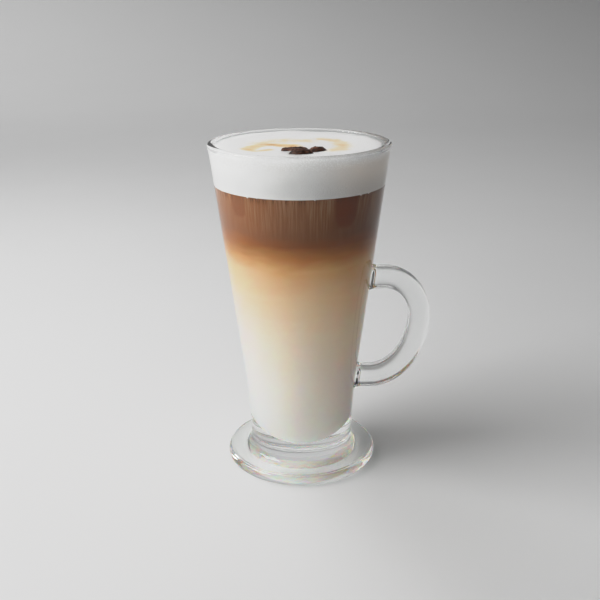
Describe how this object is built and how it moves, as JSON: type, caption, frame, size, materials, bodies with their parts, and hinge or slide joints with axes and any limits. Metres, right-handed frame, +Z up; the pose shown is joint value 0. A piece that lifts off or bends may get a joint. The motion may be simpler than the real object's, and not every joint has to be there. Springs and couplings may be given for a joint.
{
  "type": "latte in a handled glass",
  "caption": "Layered latte in a tall footed glass with an ear handle: milk, coffee and milk foam up to the lip, with roasted coffee beans on top.",
  "frame": {"origin": "middle of the foot's underside, on the axis of the glass", "axes": "+Z up along the axis of the glass, +X from the axis towards the handle"},
  "size_m": [0.0994, 0.0798, 0.1511],
  "materials": {
    "clear_glass": "clear pressed glass, fire polished",
    "milk": "milk, white at the floor and caramel under the coffee",
    "coffee": "milky coffee, opaque brown with fine hanging streaks",
    "milk_foam": "fine steamed milk foam, matt, stained by coffee on top",
    "roasted_bean": "dark roasted, slightly oily"
  },
  "bodies": {
    "root": {"glass": "clear_glass", "milk": "milk", "coffee": "coffee", "foam": "milk_foam", "bean_left": "roasted_bean", "bean_right": "roasted_bean", "bean_front": "roasted_bean"}
  },
  "joints": []
}
